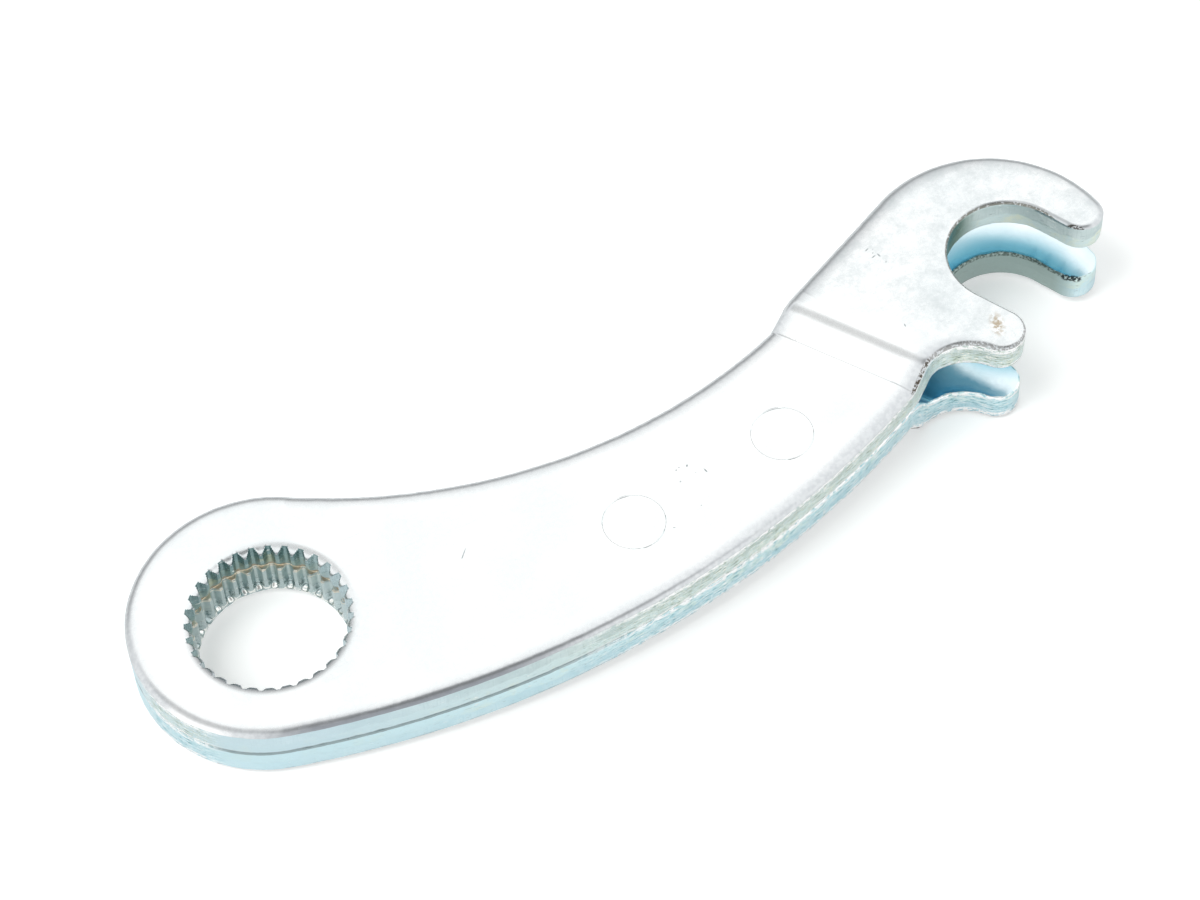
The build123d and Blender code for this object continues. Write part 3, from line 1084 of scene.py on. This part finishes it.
def rimProfile(place, share, tail, seed):
    # Inset and depth of each ring: guard ring on the flat, dishing, rolled corner, burnished
    # band, torn band and the small break beside the seam
    x, y = place
    wide = plate["rollOuter"][0] * (1 - share) + plate["rollCrook"][0] * share
    deep = plate["rollOuter"][1] * (1 - share) + plate["rollCrook"][1] * share
    swell = 1 + 0.09 * grain((x, y, 0), 5, seed) + 0.06 * grain((x, y, 3), 1.1, seed)
    wide *= swell
    deep *= swell
    reach = wide + 0.1 + plate["tail"] * tail

    def dished(inset):
        return plate["dish"] * tail * tail * max(0, 1 - inset / reach) ** 2

    profile = [(reach + plate["guard"], 0)]
    for part in plate["dishRings"]:
        inset = wide + (reach - wide) * part
        profile.append((inset, dished(inset)))
    last = radians(plate["rollEnd"])
    for step in range(1, plate["rollRings"] + 1):
        part = step / plate["rollRings"]
        turn = last * part
        nick = 0.02 * part * grain((x, y, step * 0.1), 0.7, seed + 1)
        inset = plate["inset"] + wide * (1 - sin(turn) / sin(last)) + nick
        profile.append((inset, deep * (1 - cos(turn)) / (1 - cos(last)) + dished(inset)))
    deep = profile[-1][1]
    # The seam is pinched tight at the near side of the eye, and again from the rivets on
    shut = float(np.interp(x, *plate["seamPinch"])) if y < 5 else 1
    broken = plate["seamBreak"] * (1 + share) * (0.8 + 0.5 * grain((x, y, 20), 0.9, seed))
    broken *= 0.3 + 0.7 * shut
    floor = plate["thickness"] - broken
    tear = plate["fractureFrom"] + 0.35 * grain((x, y, 9), 2.5, seed)
    for part in plate["wallRings"]:
        depth = deep + part * (floor - deep)
        inset = plate["inset"] + 0.005 * grain((x * 6, y * 6, depth), 2, seed + 2)
        torn = max(0, depth - tear)
        if torn > 0:
            rough = min(1, torn / 0.3)
            inset += plate["fractureDraft"] * torn / (plate["thickness"] - tear)
            inset += rough * 0.03 * grain((x, y, depth * 0.7), 0.45, seed + 3)
            inset += rough * 0.02 * grain((x, y, depth), 1.4, seed + 4)
        profile.append((inset, depth))
    foot = profile[-1][0]
    for turn in (pi / 6, pi / 3, pi / 2):
        profile.append((foot + broken * (1 - cos(turn)), floor + broken * sin(turn)))
    return profile


def insideBlank(spots, loop, margin):
    # Keeps the spots on the flat of the blank, clear of its rim, bore and rivet seats
    ring = np.array([(place.x, place.y) for place in loop])
    nextRing = np.roll(ring, -1, axis=0)
    kept = []
    for x, y in spots:
        if hypot(x, y) < chamferRadius(0) + margin:
            continue
        if any(hypot(x - cx, y - cy) < rivet["head"] + margin + 0.2 for cx, cy in rivets.values()):
            continue
        if np.hypot(ring[:, 0] - x, ring[:, 1] - y).min() < margin:
            continue
        if withinLoop((x, y), ring, nextRing):
            kept.append((x, y))
    return kept


def withinLoop(spot, ring, nextRing):
    x, y = spot
    crosses = (ring[:, 1] > y) != (nextRing[:, 1] > y)
    slant = nextRing[:, 1] - ring[:, 1]
    slant[slant == 0] = 1
    reach = ring[:, 0] + (y - ring[:, 1]) * (nextRing[:, 0] - ring[:, 0]) / slant
    return (crosses & (x < reach)).sum() % 2 == 1


def joggleRows(middle, foot, head):
    # Places along the bearing where the sheet turns: rows of points close over both corners
    slope = radians(joggle["slope"])
    start, end = bendEnds(middle, foot, head)
    steps = 7
    rows = [start + foot * sin(slope * step / steps) for step in range(steps + 1)]
    rows += [end - head * sin(slope * step / steps) for step in range(steps, -1, -1)]
    middles = [rows[steps] + (rows[steps + 1] - rows[steps]) * step / 4 for step in (1, 2, 3)]
    return [start - 0.5, start - 0.2] + rows + middles + [end + 0.2, end + 0.5]


def flatSpots(loop, outer):
    # Rows across the joggle, and a coarse net that carries the sheet's slight waviness
    if outer:
        rows = joggleRows(joggle["outerMiddle"], joggle["hollow"], joggle["crest"])
    else:
        rows = joggleRows(joggle["innerMiddle"], joggle["rootCrest"], joggle["rootHollow"])
    spots = []
    east, north, _ = joggleWay
    for row, along in enumerate(rows):
        for step in range(-125, -30):
            across = (step + row % 2 / 2) * plate["rowStep"]
            spots.append((along * east - across * north, along * north + across * east))
    if outer:
        for ring in range(1, 7):
            radius = chamferRadius(0) + bore["dish"][0] * ring / 6
            turns = [2 * pi * (step + ring % 2 / 2) / 120 for step in range(120)]
            spots += [(radius * cos(turn), radius * sin(turn)) for turn in turns]
    wide, tall = plate["netStep"]
    for column in range(-9, 61):
        for line in range(-12, 11):
            x, y = (column + line % 2 / 2) * wide, line * tall
            if not min(rows) - 0.6 < alongBearing((x, y)) < max(rows) + 0.6:
                spots.append((x, y))
    return insideBlank(spots, loop, 0.2)


def grooveFill(centreX, angle):
    # The plating closes the groove round a rivet, but for two broken arcs
    place = (cos(angle) * 3, sin(angle) * 3, centreX)
    arcs = cos(2 * angle - radians(205)) + 1.5 * grain(place, 1.1, 7)
    return 0.97 * min(1, max(0, 0.55 - arcs * 1.6))


def boreDish(x, y):
    # The punch draws the face down a little round the bore
    wide, deep = bore["dish"]
    return deep * max(0, 1 - (hypot(x, y) - chamferRadius(0)) / wide) ** 2


def seatRings():
    # The countersunk seat of a flush rivet: radius and depth from the outer face
    radius = rivet["head"] + rivet["fit"]
    neck = rivet["shank"] + rivet["fit"]
    return [
        (radius + rivet["edgeBreak"], 0),
        (radius - 0.02, rivet["edgeBreak"]),
        (neck, rivet["headDepth"]),
        (neck, plate["thickness"] - 0.1),
        (neck + 0.1, plate["thickness"]),
    ]


skinSlot, edgeSlot, innerSlot, boreSlot = range(4)  # the plates' materials, in their order


def addFace(blank, corners, slot, spread):
    blank["faces"].append(tuple(corners))
    blank["slots"].append(slot)
    blank["spread"].append(spread)


def addRim(blank, profiles):
    # A ring of vertices for each line of the profile. Gives the loops that bound the two flats.
    count, rings = len(outlineSteps), len(profiles[0])
    skinRings = len(plate["dishRings"]) + plate["rollRings"]  # the rings above the sheared wall
    for ring in range(rings):
        for (place, out, *_), profile in zip(outlineSteps, profiles):
            inset, depth = profile[ring]
            spot = place - out * inset
            blank["verts"].append((spot.x, spot.y, plate["thickness"] - depth))
    for ring in range(rings - 1):
        for step in range(count):
            onward = (step + 1) % count
            upper, lower = ring * count, (ring + 1) * count
            run = outlineSteps[step][2]
            nextRun = outlineSteps[onward][2] if onward else perimeter
            above, below = profiles[step][ring][1], profiles[step][ring + 1][1]
            corners = (lower + step, lower + onward, upper + onward, upper + step)
            spread = [(run, below), (nextRun, below), (nextRun, above), (run, above)]
            addFace(blank, corners, skinSlot if ring < skinRings else edgeSlot, spread)
    return list(range(count)), list(range((rings - 1) * count, rings * count))


def addBore(blank, wall, seed):
    # The serrated wall, uneven where it is torn, and drawn down a little at the face
    places, faces, chamfered = wall
    thick = plate["thickness"]
    verts = blank["verts"]
    first = len(verts)
    whole, torn = bore["uneven"]
    for place in places:
        out = Vector((place.x, place.y)).normalized()
        depth = thick - place.z
        inner = min(1, max(0, depth - bore["tearFrom"]) * 2)
        if not max(chamfered):
            inner = max(inner, bore["tearFrom"] - 2 * depth)
        shift = whole * grain(place, 0.5, seed + 5) + inner * torn * grain(place, 0.6, seed + 6)
        if not 0.03 < depth < thick - 0.03:  # the loops on both faces stay even
            shift = 0
        sunk = bore["dish"][1] * max(0, 1 - depth / bore["dishReach"])
        verts.append((place.x + out.x * shift, place.y + out.y * shift, place.z - sunk))
    for face in faces:
        corners = [first + corner for corner in face]
        spots = [verts[corner] for corner in corners]
        spread = [(atan2(y, x) * bore["meanRadius"], thick - z) for x, y, z in spots]
        lead = min(chamfered[corner] for corner in face) > 0.5
        addFace(blank, corners, skinSlot if lead else boreSlot, spread)
    loops = []
    for height in (thick, 0):
        loop = [first + at for at, place in enumerate(places) if abs(place.z - height) < 1e-4]
        loops.append(sorted(loop, key=lambda at: atan2(verts[at][1], verts[at][0])))
    return loops


def addSeat(blank, centre):
    # A flush rivet's countersunk seat, its mouth narrowed where the plating closes the groove
    x, y = centre
    start = len(blank["verts"])
    seat = seatRings()
    steps = rivet["steps"]
    for radius, depth in seat:
        for step in range(steps):
            angle = 2 * pi * step / steps
            worn = radius
            if depth == 0:
                worn = radius - rivet["edgeBreak"] * grooveFill(x, angle)
            height = plate["thickness"] - depth
            blank["verts"].append((x + worn * cos(angle), y + worn * sin(angle), height))
    for ring in range(len(seat) - 1):
        for step in range(steps):
            onward = (step + 1) % steps
            upper, lower = start + ring * steps, start + (ring + 1) * steps
            corners = (upper + step, upper + onward, lower + onward, lower + step)
            addFace(blank, corners, boreSlot if ring else skinSlot, [(0, 0)] * 4)
    end = len(blank["verts"])
    return list(range(start, start + steps)), list(range(end - steps, end))


def addFlat(blank, loops, up, seed):
    # The outer or the inner flat: a net of triangles from the rim's loop to those of the holes
    verts = blank["verts"]
    points, owners, edges = [], [], []
    for loop in loops:
        base = len(points)
        points += [Vector(verts[at][:2]) for at in loop]
        owners += loop
        edges += [(base + at, base + (at + 1) % len(loop)) for at in range(len(loop))]
    for x, y in flatSpots([Vector(verts[at][:2]) for at in loops[0]], up):
        owners.append(len(verts))
        points.append(Vector((x, y)))
        height = 0
        if up:
            waves = plate["waviness"] * (1 + grain((x, y, 0), 8, seed + 8))
            height = plate["thickness"] - (boreDish(x, y) + waves)
        verts.append((x, y, height))
    holes = []
    for loop in loops[1:]:
        ring = np.array([verts[at][:2] for at in loop])
        holes.append((set(loop), ring, np.roll(ring, -1, axis=0)))
    _, _, triangles, origins, _, _ = geometry.delaunay_2d_cdt(points, edges, [], 1, 1e-6)
    for triangle in triangles:
        corners = [owners[origins[at][0]] for at in triangle]
        a, b, c = (Vector(verts[at][:2]) for at in corners)
        middle = (a + b + c) / 3
        if any(own.issuperset(corners) and withinLoop(middle, *rings) for own, *rings in holes):
            continue
        if ((b - a).cross(c - a) > 0) != up:
            corners.reverse()
        spread = [(verts[at][0], verts[at][1]) for at in corners]
        addFace(blank, corners, skinSlot if up else innerSlot, spread)


def markRim(mesh, profiles, wall):
    # For the finishes: how deep the face has sunk, and how far round the roll a place lies
    mesh.attributes.new("rimDepth", "FLOAT", "POINT")
    mesh.attributes.new("rollTurn", "FLOAT", "POINT")
    sunk, turned = mesh.attributes["rimDepth"].data, mesh.attributes["rollTurn"].data
    at = 0
    for ring in range(len(profiles[0])):
        part = (ring - len(plate["dishRings"])) / plate["rollRings"]
        for profile in profiles:
            sunk[at].value = min(1, sqrt(profile[ring][1] / plate["rollOuter"][1]))
            turned[at].value = min(1, max(0, part))
            at += 1
    places, _, chamfered = wall
    for step, place in enumerate(places):
        if chamfered[step] > 0.5:
            depth = (plate["thickness"] - place.z) / bore["chamfer"][1]
            sunk[at + step].value = 0.12 + 0.5 * depth


def blankMesh(name, seed, wall):
    # The blank with its outer face up, joggled: rim, bore, rivet seats and the two flats
    profiles = [rimProfile(place, *shares, seed) for place, _, _, *shares in outlineSteps]
    blank = {"verts": [], "faces": [], "slots": [], "spread": []}
    loops = [addRim(blank, profiles), addBore(blank, wall, seed)]
    loops += [addSeat(blank, centre) for centre in rivets.values()]
    outerLoops, innerLoops = zip(*loops)
    addFlat(blank, outerLoops, True, seed)
    addFlat(blank, innerLoops, False, seed)
    mesh = bpy.data.meshes.new(name)
    mesh.from_pydata([pressed(*place) for place in blank["verts"]], [], blank["faces"])
    spread = [value * mm for face in blank["spread"] for pair in face for value in pair]
    mesh.uv_layers.new(name="alongRim").data.foreach_set("uv", spread)
    mesh.polygons.foreach_set("material_index", blank["slots"])
    markRim(mesh, profiles, wall)
    return mesh


def finishPiece(mesh, name, nodes):
    # Smooth shading with crisp edges, and its place in the assembly
    mesh.polygons.foreach_set("use_smooth", [True] * len(mesh.polygons))
    mesh.set_sharp_from_angle(angle=radians(38))
    mesh.update()
    piece = bpy.data.objects.new(name, mesh)
    scene.collection.objects.link(piece)
    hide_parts(*nodes)
    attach(piece, "root")
    return piece


boreTree = serratedBoreTree()


def makePlate(name, node, seed, below, finishes):
    wall = boreWall(boreTree, below)
    print(name, "serrated bore:", len(wall[1]), "quads")
    mesh = blankMesh(name, seed, wall)
    shell = bmesh.new()
    shell.from_mesh(mesh)
    if below:
        for vert in shell.verts:
            vert.co.z = -vert.co.z
        bmesh.ops.reverse_faces(shell, faces=shell.faces)
    openEdges = sum(not edge.is_manifold for edge in shell.edges)
    volume = round(shell.calc_volume(signed=True) / mm**3)
    print(name, len(shell.faces), "faces, open edges", openEdges, "volume mm3", volume)
    shell.to_mesh(mesh)
    shell.free()
    for material in finishes:
        mesh.materials.append(material)
    return finishPiece(mesh, name, [node])


aboveFinishes = (stampedSkin, shearedZinc, shieldedZinc, punchedZinc)
belowFinishes = (stampedSkin, shearedBelow, shieldedZinc, punchedZinc)
makePlate("upperPlate", "upper_plate", 1, False, aboveFinishes)
makePlate("lowerPlate", "lower_plate", 2, True, belowFinishes)


# The two flush rivets

def rivetMesh(name, centre, seed):
    # Turned in one piece: flush head, cone, shank, cone, flush head
    face = plate["thickness"]
    neck = face - rivet["headDepth"]
    middle, outside = rivet["crown"]
    top = [
        (0.9, face - middle),
        (rivet["shank"], face - outside),
        (rivet["head"] - 0.14, face),
        (rivet["head"] - rivet["edgeBreak"], face),
        (rivet["head"], face - rivet["edgeBreak"]),
        (rivet["shank"], neck),
    ]
    profile = top + [(radius, -height) for radius, height in reversed(top)]
    steps = rivet["steps"]
    verts = [(*centre, face - middle)]
    for ring, (radius, height) in enumerate(profile):
        for step in range(steps):
            angle = 2 * pi * step / steps
            x, y = cos(angle), sin(angle)
            worn = radius
            if abs(radius - rivet["head"] + rivet["edgeBreak"]) < 1e-6:  # the head's rim
                worn = radius + rivet["edgeBreak"] * grooveFill(centre[0], angle)
            verts.append((centre[0] + worn * x, centre[1] + worn * y, height))
    verts.append((*centre, middle - face))
    last = len(verts) - 1
    faces = []
    for step in range(steps):
        onward = (step + 1) % steps
        faces.append((0, 1 + step, 1 + onward))
        for ring in range(len(profile) - 1):
            upper, lower = 1 + ring * steps, 1 + (ring + 1) * steps
            faces.append((upper + step, lower + step, lower + onward, upper + onward))
        base = 1 + (len(profile) - 1) * steps
        faces.append((last, base + onward, base + step))
    mesh = bpy.data.meshes.new(name)
    mesh.from_pydata([inMetres(*place) for place in verts], [], faces)
    mesh.materials.append(rivetZinc)
    return mesh


for seed, (node, centre) in enumerate(rivets.items()):
    name = "rivetNearEye" if node == "rivet_near_eye" else "rivetNearFork"
    finishPiece(rivetMesh(name, centre, seed + 11), name, [node])
print("rivets done")
